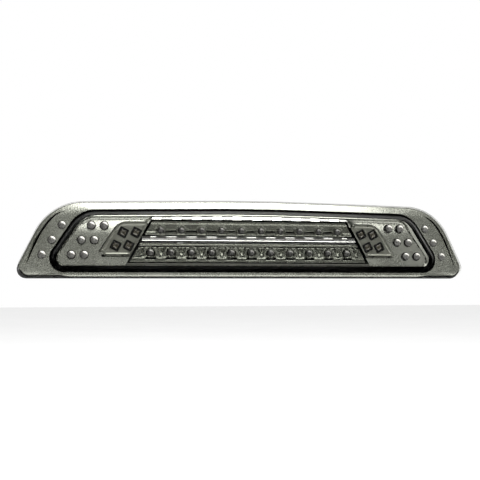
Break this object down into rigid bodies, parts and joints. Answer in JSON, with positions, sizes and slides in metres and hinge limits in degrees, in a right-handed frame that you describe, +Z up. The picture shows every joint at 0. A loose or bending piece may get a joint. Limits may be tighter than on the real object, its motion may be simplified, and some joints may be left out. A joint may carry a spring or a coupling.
{
  "type": "third brake light",
  "caption": "Wide high-mount third brake light for a pickup cab, with cargo lamps: smoked lens over chrome reflectors, black trim ring, round and square LEDs.",
  "frame": {"origin": "middle of the plane on which the gasket seats on the cab", "axes": "+X along the lamp to its right as seen from behind the vehicle, -Y the way the lamp shines, +Y into the cab, +Z up"},
  "size_m": [0.4464, 0.052, 0.075],
  "materials": {
    "smoked_lens": "clear polycarbonate with a light smoke tint, polished",
    "smoked_chrome": "vacuum-metallised plastic under a smoke tint, satin-bright",
    "bright_chrome": "vacuum-metallised plastic, bright",
    "gloss_black": "piano black, glossy",
    "black_housing": "moulded black ABS, fine texture",
    "foam": "closed-cell foam, matte",
    "sealant": "hot-melt bead, slightly glossy",
    "soft_rubber": "moulded rubber, matte",
    "circuit_board": "glass-epoxy board with white solder mask",
    "clear_led": "water-clear epoxy dome",
    "square_led": "dark frame with a tinted window",
    "zinc_steel": "zinc plated"
  },
  "bodies": {
    "root": {"outer_lens": "smoked_lens", "lens_seal": "sealant", "mounting_gasket": "foam", "rear_housing": "black_housing", "upper_left_stud": "zinc_steel", "upper_left_nut": "zinc_steel", "upper_right_stud": "zinc_steel", "upper_right_nut": "zinc_steel", "lower_left_stud": "zinc_steel", "lower_left_nut": "zinc_steel", "lower_right_stud": "zinc_steel", "lower_right_nut": "zinc_steel", "wire_grommet": "soft_rubber", "breather_vent": "soft_rubber", "driver_board": "circuit_board", "left_board_screw": "zinc_steel", "right_board_screw": "zinc_steel", "wing_bezel": "smoked_chrome", "trim_ring": "gloss_black", "reflector_frame": "smoked_chrome", "left_tile": "smoked_chrome", "left_cargo_led_1": "clear_led", "left_cargo_led_2": "clear_led", "left_cargo_led_3": "clear_led", "left_cargo_led_4": "clear_led", "left_cargo_led_5": "clear_led", "left_cargo_led_6": "clear_led", "left_wing_led_1": "clear_led", "left_wing_led_2": "clear_led", "left_wing_led_3": "clear_led", "left_square_led_1": "square_led", "left_square_led_2": "square_led", "left_square_led_3": "square_led", "left_square_led_4": "square_led", "left_cargo_board": "circuit_board", "left_wing_board": "circuit_board", "left_tile_board": "circuit_board", "right_tile": "smoked_chrome", "right_cargo_led_1": "clear_led", "right_cargo_led_2": "clear_led", "right_cargo_led_3": "clear_led", "right_cargo_led_4": "clear_led", "right_cargo_led_5": "clear_led", "right_cargo_led_6": "clear_led", "right_wing_led_1": "clear_led", "right_wing_led_2": "clear_led", "right_wing_led_3": "clear_led", "right_square_led_1": "square_led", "right_square_led_2": "square_led", "right_square_led_3": "square_led", "right_square_led_4": "square_led", "right_cargo_board": "circuit_board", "right_wing_board": "circuit_board", "right_tile_board": "circuit_board", "upper_brake_reflector": "smoked_chrome", "lower_brake_reflector": "smoked_chrome", "divider_bar": "bright_chrome", "upper_brake_board": "circuit_board", "lower_brake_board": "circuit_board"}
  },
  "joints": []
}
